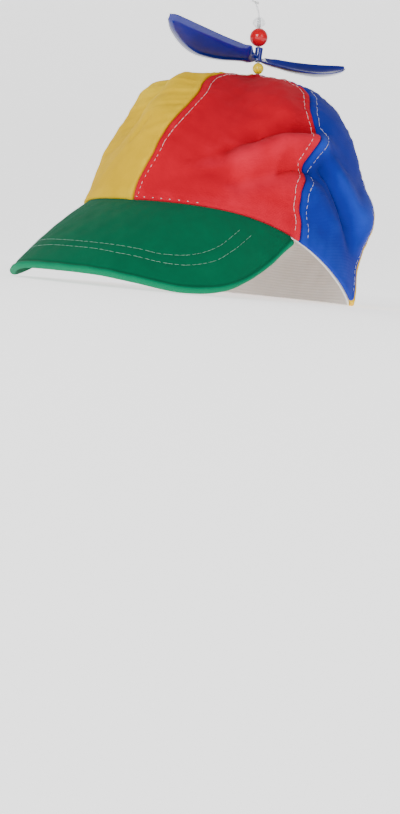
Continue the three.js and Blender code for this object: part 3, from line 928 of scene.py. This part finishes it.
def peak_piece():
    """Closed strip: top face out to the edge, round the roll, and back along the underside."""
    side = np.linspace(-1, 1, 170)
    out = np.concatenate([np.linspace(0, 0.9, 64), np.linspace(0.905, 1, 22)])
    out, side = np.meshgrid(out, side, indexing="ij")
    reach = peak_top(side, np.ones_like(out), edge_lift) - peak_top(side, out * 0, edge_lift)
    length = np.linalg.norm(reach, axis=-1)
    out = out * (1 - 0.45 * peak_wall / length)
    margin = (1 - out) * length
    behind = bell(margin - edge_groove_inset, edge_groove_width)
    roll = roll_height * bell(margin - roll_inset, roll_width) - edge_groove * behind
    for table in STITCH_ROWS:
        ended = ease((table[-1, 0] - np.abs(side)) / 0.02)
        roll -= row_groove * ended * bell((out - row_place(table, side)) * length, row_groove_width)
    wave = 0.00016 * np.sin(side * 61 + np.sin(out * 9)) * np.sin(out * 14 + side * 5) * ease(out / 0.2)
    top, normal = peak_top(side, out, edge_lift), peak_normal(side, out, edge_lift)
    upper = top + normal * (roll + wave)[..., None]
    under = top - normal * (peak_wall + roll * 0.7)[..., None]
    arc = np.linspace(0, np.pi, 10)[1:-1, None, None]
    middle, half = (upper[-1] + under[-1]) / 2, (upper[-1] - under[-1]) / 2
    bulge = unit(top[-1] - top[-2]) * np.linalg.norm(half, axis=-1)[:, None] * 0.9
    edge = middle + np.cos(arc) * half + np.sin(arc) * bulge
    points = np.concatenate([upper, edge, under[::-1]]) + shift
    faces, corners = closed_strip(points, np.append(side[0], 1) * 0.11, 0.003)
    # Paler along the rolled edge, with painted shade in the groove behind the roll, and the whole underside
    # darker as painted shade under the peak
    pale_roll_and_shade = 0.45 + 0.5 * ease((2 * roll_inset - margin) / 0.0008) - 0.4 * behind
    shade = np.concatenate([pale_roll_and_shade, np.ones(edge.shape[:2]), pale_roll_and_shade[::-1] * 0.6])
    piece = add_piece("peak_cover", points, faces, CLOTHS["cloth_green"], corners, shade)
    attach(piece, "cap")
    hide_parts("peak")


peak_piece()

# %% Stitches on the peak and along its root


def peak_row(table, face):
    """A row of stitches along the peak, at the places of its table, on its top or its underside."""
    side = np.linspace(-table[-1, 0], table[-1, 0], 420)
    out = row_place(table, side)
    normal = peak_normal(side, out, edge_lift)
    lift = 0.0 if face > 0 else -peak_wall
    path = peak_top(side, out, edge_lift) + normal * (lift + face * 0.0001) + shift
    return stitch_row(path, normal * face, 0.0026, 0.0005, 0.00009)


def root_row():
    """Small dots of thread where the panels' hem is sewn to the peak."""
    turn = np.linspace(1, 30, 130)
    rise = np.full_like(turn, 0.0022)
    return stitch_row(outside(turn, rise, 0.0001), crown_normal(turn, rise), 0.0010, 0.0040, 0.00026)


rows = [peak_row(table, face) for table in STITCH_ROWS for face in (1, -1)]
stitch_piece("peak_stitches", rows, PALE_THREAD)
stitch_piece("root_stitches", [root_row()], WHITE_THREAD)

# %% [markdown]
# ## The sweatband
# A white woven tape is sewn round the inside of the rim. It shows as a thin bright line below the cloth
# behind the peak, and as a broad band when the cap is seen from below.

# %% Sweatband


def tape_finish():
    """Woven tape: lengthwise ribs and crossing yarns, off white, slightly yellowed in patches."""
    finish = Finish("tape_white", {"Sheen Weight": 0.25, "Specular IOR Level": 0.3})
    across, along = finish.weave()
    rib = (along * (2 * np.pi / 0.0011)).math("SINE")
    yarn = (across * (2 * np.pi / 0.0008)).math("SINE")
    stain = finish.noise(30, 3)
    fibre = finish.noise(2200, 2)
    colour = finish.mix(stain, (0.74, 0.71, 0.64), (0.90, 0.89, 0.86))
    height = rib * 0.6 + yarn * 0.4 + fibre * 0.5
    return finish.feed(Base_Color=colour, Roughness=0.8 + fibre * 0.1,
                       Normal=finish.bump(height, 0.4, 0.00025))


def band_piece():
    """A ring of tape: outside face up, rounded top, inside face down, rounded foot."""
    turn = np.linspace(0, 360, 541)[:-1]
    up = np.concatenate([[-1], np.linspace(0, 0.19, 24)])
    rise, turns = np.meshgrid(np.maximum(up, 0), turn, indexing="ij")
    inside, normal = crown(turns, rise), crown_normal(turns, rise)
    wave = 0.0003 * np.sin(np.radians(turns) * 37 + rise * 30) * ease(rise / 0.05)

    def face(depth):
        """One face of the tape, below the rim by the drop in its first row, but clear of the floor."""
        points = inside - normal * (depth + wave)[..., None]
        points[0, :, 2] = np.maximum(points[0, :, 2] - band_drop, band_gap)
        points[1:, :, 2] = np.maximum(points[1:, :, 2], 2 * band_gap)
        return points

    outer, inner = face(band_gap), face(band_gap + band_wall)
    lip = (outer[-1:] + inner[-1:]) / 2 + UP * 0.0005
    foot = (outer[:1] + inner[:1]) / 2 - UP * 0.0002
    points = np.concatenate([outer, lip, inner[::-1], foot]) + shift
    faces, places = grid_faces(*points.shape[:2], loop=True, ring=True)
    weave = weave_map(points, np.radians(np.append(turn, 360)) * girth_share, 0, band_wall)
    piece = add_piece("sweatband_tape", points, faces, tape_finish(), weave[places])
    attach(piece, "cap")
    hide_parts("sweatband")


band_piece()

# %% [markdown]
# ## Moulded plastics
# The beads, the thread and the propeller are moulded. They are glossy, and their colour comes from inside:
# the red bead and the blades are opaque, the yellow bead lets light through, and the thread and the top
# bead are clear. Fine scuffs vary the gloss.

# %% Plastic finishes


def moulded(name, colour, deep, constants, scuff=0.08):
    """Glossy plastic: colour clouded by noise, gloss broken by scuffs, a faintly uneven skin."""
    finish = Finish(name, constants)
    cloud = finish.noise(60, 2)
    scratch = finish.noise(900, 4, 0.7)
    dimple = finish.noise(240, 1)
    colour = finish.mix(finish.between(cloud, 0.3, 0.7), deep, colour)
    gloss = constants["Roughness"] + (scratch - 0.4) * scuff
    return finish.feed(Base_Color=colour, Roughness=gloss, Normal=finish.bump(dimple, 0.08, 0.0002))


BLADE_BLUE = moulded("plastic_blue", (0.004, 0.010, 0.24), (0.003, 0.007, 0.17),
                     {"Roughness": 0.15, "Specular IOR Level": 0.5, "Coat Weight": 0.35,
                      "Coat Roughness": 0.05})
BEAD_RED = moulded("plastic_red", (0.62, 0.001, 0.010), (0.48, 0.001, 0.007),
                   {"Roughness": 0.12, "Specular IOR Level": 0.35, "Coat Weight": 0.15,
                    "Coat Roughness": 0.04})
BEAD_YELLOW = moulded("plastic_yellow", (1.0, 0.76, 0.0), (0.95, 0.64, 0.0),
                      {"Roughness": 0.12, "Transmission Weight": 0.10, "IOR": 1.49, "Coat Weight": 0.2})
BEAD_CLEAR = moulded("plastic_clear", (0.96, 0.97, 0.98), (0.90, 0.92, 0.93),
                     {"Roughness": 0.08, "Transmission Weight": 0.85, "IOR": 1.49}, 0.05)
NYLON = moulded("nylon_clear", (0.93, 0.94, 0.94), (0.86, 0.87, 0.88),
                {"Roughness": 0.2, "Transmission Weight": 0.7, "IOR": 1.53}, 0.05)
print("plastics made")

# %% [markdown]
# ## Beads
# A drilled bead is a profile turned round the thread. The profile runs over the ball and back through the
# hole, with a small rounded lip where the drill came out.

# %% Beads


def bead_piece(node, width, flat, height, material):
    """Profile of a ball with a hole, turned on its axis: a closed ring of closed loops."""
    bore = thread_radius + running_gap
    first = np.arcsin(bore * 1.35 / (width / 2))
    angle = np.linspace(first, np.pi - first, 40)
    radius = np.concatenate([np.sin(angle) * width / 2, [bore * 1.1], np.full(10, bore), [bore * 1.1]])
    top = np.cos(angle) * width / 2 * flat
    lip = top[0] - bore * 0.12
    level = np.concatenate([-top, [lip], np.linspace(lip - bore * 0.2, bore * 0.2 - lip, 10), [-lip]])
    points = revolved(radius, level, 64) + UP * height
    faces, _ = grid_faces(*points.shape[:2], loop=True, ring=True)
    piece = add_piece(node + "_ball", on_thread(points), faces, material)
    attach(piece, "cap")
    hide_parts(node)


bead_piece("bead_yellow", yellow_bead, 1.0, yellow_height, BEAD_YELLOW)
bead_piece("bead_red", red_bead, 1.0, red_height, BEAD_RED)
bead_piece("bead_clear", clear_bead, clear_bead_flat, clear_height, BEAD_CLEAR)

# %% [markdown]
# ## The thread
# One nylon moulding holds the stack: a disc inside the crown, a thin thread, and a small crossbar on its
# free end, which leans over. It is one circle carried along a path, widened at the disc.

# %% Thread


def carried(path, radii, sides=24):
    """A tube of circles of given radii carried along a path that stays in the plane of x and z."""
    ahead = unit(np.gradient(path, axis=0))
    aside = unit(np.cross(ahead, [0.0, 1.0, 0.0]))
    angle = np.arange(sides)[:, None] * 2 * np.pi / sides
    ring = np.cos(angle) * aside[:, None, :] + np.sin(angle) * np.cross(ahead, aside)[:, None, :]
    tube = path[:, None, :] + ring * radii[:, None, None]
    return tube.reshape(-1, 3), tube_faces(len(path), sides)


def thread_piece():
    """The disc and the thread as one tube, straight and then bending over, and the crossbar as another."""
    straight = thread_top - thread_free
    slope = nub_height * (disc_radius / nub_radius) ** 2 + disc_radius * np.sin(np.radians(thread_lean))
    disc = -2 * band_gap - slope - disc_wall / 2
    level = np.concatenate([np.array([-0.5, -0.5, -0.35, 0.35, 0.5, 0.5]) * disc_wall + disc,
                            np.linspace(disc + 0.0008, straight, 20)])
    free = np.linspace(0.08, 1, 24)
    bend = np.concatenate([np.zeros(len(level)), -thread_bend * free ** 1.6])
    path = np.stack([bend, np.zeros(len(bend)), np.concatenate([level, straight + thread_free * free])], -1)
    path[1, 2] += 1e-6
    path[4, 2] -= 1e-6
    radii = np.concatenate([np.array([0.02, 0.9, 1, 1, 0.9, 0.2]) * disc_radius, np.full(44, thread_radius)])
    ends = np.array([-1, -0.985, -0.94, -0.86, 0.86, 0.94, 0.985, 1]) * bar_length / 2
    drop = ends * np.tan(np.radians(thread_lean + 18))
    bar = np.stack([ends - thread_bend, ends * 0, thread_top - drop], -1)
    bar_radii = np.array([0.05, 0.55, 0.85, 1, 1, 0.85, 0.55, 0.05]) * bar_radius
    points, faces = joined([carried(path, radii), carried(bar, bar_radii)])
    piece = add_piece("thread_nylon", on_thread(points), faces, NYLON)
    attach(piece, "cap")
    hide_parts("thread")


thread_piece()

# %% [markdown]
# ## The propeller
# The blades are thin spoons of moulded plastic. Each cross section is a flat loop with rounded edges, bent
# by the cup, turned by the pitch and set on a line that curves up towards the tip. The straighter edge has
# a small lip. The hub is a turned tube that is loose on the thread, so the whole propeller leans.

# %% Propeller


def blade_points():
    """Loops round the blade's sections from the hub to the tip."""
    place = np.concatenate([np.linspace(0.02, 0.94, 72), 1 - 0.06 * (1 - np.linspace(0, 1, 14)[1:]) ** 1.5])
    chord, lead = smooth(BLADE, place), smooth(BLADE, place, 2)
    angle = np.linspace(0, 2 * np.pi, 65)[:-1]
    share = 0.5 - 0.5 * np.cos(angle)
    thick = blade_wall / 2 * np.sign(np.sin(angle)) * np.abs(np.sin(angle)) ** 0.35
    across = blade_chord * (lead[:, None] - share * chord[:, None])
    lip = 0.0009 * np.exp(-((share * chord[:, None] / 0.07) ** 2)) * ease((place[:, None] - 0.15) / 0.1)
    cup = -blade_cup * chord[:, None] * 4 * share * (1 - share) - blade_wall / 2 + thick + lip
    place = place[:, None]
    pitch = np.radians(blade_pitch + blade_twist * (1 - place))
    level = blade_rise * place ** 2 - blade_droop * place - blade_drop
    return np.stack([place * blade_reach + 0 * across,
                     across * np.cos(pitch) - cup * np.sin(pitch),
                     across * np.sin(pitch) + cup * np.cos(pitch) + level], -1)


def hub_points():
    """Profile of the hub, a tube with rounded rims and a slight waist, turned on its axis."""
    bore = thread_radius + hub_clearance
    half, bevel = hub_height / 2, 0.0004
    radius = [bore, bore, bore + bevel / 2, hub_radius - bevel, hub_radius - bevel / 3, hub_radius,
              hub_radius - 0.00015, hub_radius - 0.00015,
              hub_radius, hub_radius - bevel / 3, hub_radius - bevel, bore + bevel / 2, bore]
    level = [0, half - bevel, half, half, half - bevel / 3, half - bevel,
             half * 0.6, -half * 0.6, bevel - half, bevel / 3 - half, -half, -half, bevel - half]
    return revolved(radius, level, 48)


def propeller_piece():
    """Two blades and the hub as one piece, leaning on the thread."""
    spin = np.array(Matrix.Rotation(np.radians(blade_heading), 3, "Z"))
    half_turn = np.diag([-1.0, -1.0, 1.0])
    rotor = turned(hub_lean, hub_lean_heading) @ spin
    blade, hub = blade_points(), hub_points()
    blade_faces = tube_faces(*blade.shape[:2])
    hub_faces, _ = grid_faces(*hub.shape[:2], loop=True, ring=True)
    blade, hub = blade.reshape(-1, 3), hub.reshape(-1, 3)
    blade_faces = blade_faces[:, ::outward(blade, blade_faces)]
    hub_faces = hub_faces[:, ::outward(hub, hub_faces)]
    points, faces = joined([(blade, blade_faces), (blade @ half_turn, blade_faces), (hub, hub_faces)])
    points = on_thread(points @ rotor.T + UP * hub_place)
    piece = add_piece("propeller_moulding", points, faces, BLADE_BLUE)
    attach(piece, "propeller")
    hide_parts("propeller")


propeller_piece()

# %% [markdown]
# ## Studio
# The photograph is lit softly from the camera's side on white. A pale floor sweeps up into a backdrop, a
# broad key light stands low on the camera's left, a second one fills from its right, and a weak one hangs
# overhead.

# %% Floor, backdrop and lights
floor_start, bend_start, bend_radius, wall_top = -3.0, 2.2, 1.2, 5.0
paper_glow = 1.4
world_strength = 0.22


def backdrop():
    """A sheet extruded sideways: flat floor, a quarter circle, then a wall, behind the cap."""
    heading = np.radians(camera_heading)
    away = np.array([-np.sin(heading), np.cos(heading), 0])
    aside = np.array([np.cos(heading), np.sin(heading), 0])
    bend = np.linspace(0, np.pi / 2, 24)
    out = np.concatenate([[floor_start, bend_start - 0.2], bend_start + bend_radius * np.sin(bend),
                          [bend_start + bend_radius]])
    level = np.concatenate([[0.0, 0.0], bend_radius * (1 - np.cos(bend)), [wall_top]])
    line = out[:, None] * away + level[:, None] * UP
    points = np.stack([line - 5 * aside, line + 5 * aside], 1)
    faces, _ = grid_faces(*points.shape[:2])
    mesh = bpy.data.meshes.new("backdrop")
    mesh.from_pydata(points.reshape(-1, 3).tolist(), [], faces.tolist())
    mesh.shade_smooth()
    sheet = placed("backdrop", mesh)
    finish = Finish("backdrop_paper", {"Roughness": 0.9, "Specular IOR Level": 0.1,
                                       "Emission Strength": paper_glow})
    grain = finish.noise(3, 2)
    paper = finish.mix(grain, (0.90, 0.90, 0.90), (0.93, 0.93, 0.93))
    sheet.data.materials.append(finish.feed(Base_Color=paper, Emission_Color=paper))


def soft_light(name, place, size, power):
    """A square lamp that looks at the cap."""
    light = bpy.data.lights.new(name, "AREA")
    light.size, light.energy = size, power
    lamp = placed(name, light)
    lamp.location = place
    lamp.rotation_euler = (Vector((0, 0, 0.08)) - Vector(place)).to_track_quat("-Z", "Y").to_euler()


backdrop()
soft_light("key", (0.35, -1.8, 0.70), 0.8, 28)
soft_light("fill", (1.9, -0.5, 0.7), 1.0, 9)
soft_light("top", (-0.4, 0.3, 2.2), 1.6, 2)
world = bpy.data.worlds.new("studio")
bpy.context.scene.world = world
world.use_nodes = True
backlight = world.node_tree.nodes["Background"].inputs
backlight["Color"].default_value = (1, 1, 1, 1)
backlight["Strength"].default_value = world_strength
